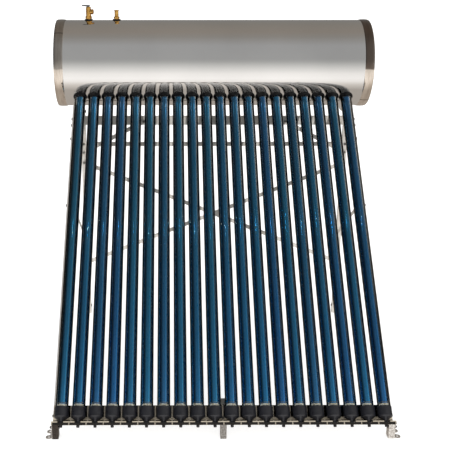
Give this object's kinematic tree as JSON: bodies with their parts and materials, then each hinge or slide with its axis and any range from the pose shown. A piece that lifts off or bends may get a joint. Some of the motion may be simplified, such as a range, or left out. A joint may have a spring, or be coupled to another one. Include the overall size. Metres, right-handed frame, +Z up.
{
  "type": "solar water heater",
  "caption": "Stainless horizontal water tank on a sloping floor frame, heated by a row of evacuated glass tubes with heat pipes, with a lever relief valve.",
  "frame": {"origin": "centre of the footprint of the whole object, on the floor it stands on", "axes": "+X along the tank towards its right end as seen from the tubes, -Y towards the lower ends of the tubes, +Z up"},
  "size_m": [1.717, 1.7118, 1.76],
  "materials": {
    "tank_steel": "satin polished stainless sheet",
    "band_steel": "polished stainless strip",
    "foam": "rigid polyurethane foam",
    "vessel_steel": "mill finish stainless",
    "magnesium": "extruded rod",
    "grommet_rubber": "moulded",
    "brass": "turned and forged",
    "valve_steel": "drawn",
    "copper": "drawn copper",
    "lever_paint": "grey coated pressing",
    "absorber": "glass with a selective coating",
    "fin_aluminium": "rolled sheet",
    "seal_rubber": "moulded silicone",
    "cup_plastic": "ribbed moulding",
    "tube_glass": "clear borosilicate",
    "frame_steel": "folded stainless sheet",
    "bolt_steel": "plain hexagon bolts, darkened"
  },
  "bodies": {
    "heater": {"outer_shell": "tank_steel", "end_cover_left": "tank_steel", "end_cover_right": "tank_steel", "end_bands": "band_steel", "insulation_foam": "foam", "inner_tank": "vessel_steel", "tank_sockets": "vessel_steel", "heat_pipe_sleeves": "vessel_steel", "anode_rod": "magnesium", "port_grommets": "grommet_rubber", "water_nipples": "brass", "valve_body": "brass", "valve_bonnet": "brass", "valve_spring": "valve_steel", "heat_pipes": "copper", "absorber_tubes": "absorber", "heat_fins": "fin_aluminium", "tube_seals": "seal_rubber", "tube_cups": "cup_plastic", "cup_nuts": "cup_plastic", "vacuum_tube_01": "tube_glass", "vacuum_tube_02": "tube_glass", "vacuum_tube_03": "tube_glass", "vacuum_tube_04": "tube_glass", "vacuum_tube_05": "tube_glass", "vacuum_tube_06": "tube_glass", "vacuum_tube_07": "tube_glass", "vacuum_tube_08": "tube_glass", "vacuum_tube_09": "tube_glass", "vacuum_tube_10": "tube_glass", "vacuum_tube_11": "tube_glass", "vacuum_tube_12": "tube_glass", "vacuum_tube_13": "tube_glass", "vacuum_tube_14": "tube_glass", "vacuum_tube_15": "tube_glass", "vacuum_tube_16": "tube_glass", "vacuum_tube_17": "tube_glass", "vacuum_tube_18": "tube_glass", "vacuum_tube_19": "tube_glass", "vacuum_tube_20": "tube_glass", "tail_rail": "frame_steel", "front_rail_left": "frame_steel", "front_rail_right": "frame_steel", "tank_cradle_left": "frame_steel", "tank_cradle_right": "frame_steel", "rear_leg_left": "frame_steel", "rear_leg_right": "frame_steel", "upper_cross_bar": "frame_steel", "lower_cross_bar": "frame_steel", "back_braces": "frame_steel", "knee_braces": "frame_steel", "side_braces": "frame_steel", "front_feet": "frame_steel", "foot_plates": "frame_steel", "frame_bolts": "bolt_steel", "frame_nuts": "bolt_steel"},
    "relief_stem": {"valve_stem": "valve_steel", "valve_probe": "copper", "lever_pin": "valve_steel"},
    "relief_lever": {"valve_lever": "lever_paint"}
  },
  "joints": [
    {"name": "stem_lift", "type": "slide", "parent": "heater", "child": "relief_stem", "axis": [0, 0, 1], "range_m": [0, 0.003], "deforming": ["valve_spring"]},
    {"name": "lever_lift", "type": "hinge", "parent": "relief_stem", "child": "relief_lever", "pos_m": [-0.67, 0.6219, 1.755], "axis": [0, 1, 0], "range_deg": [0, 90]}
  ],
  "couplings": [
    {"joint": "stem_lift", "follows": "lever_lift", "m_per_rad": 0.0019099}
  ]
}
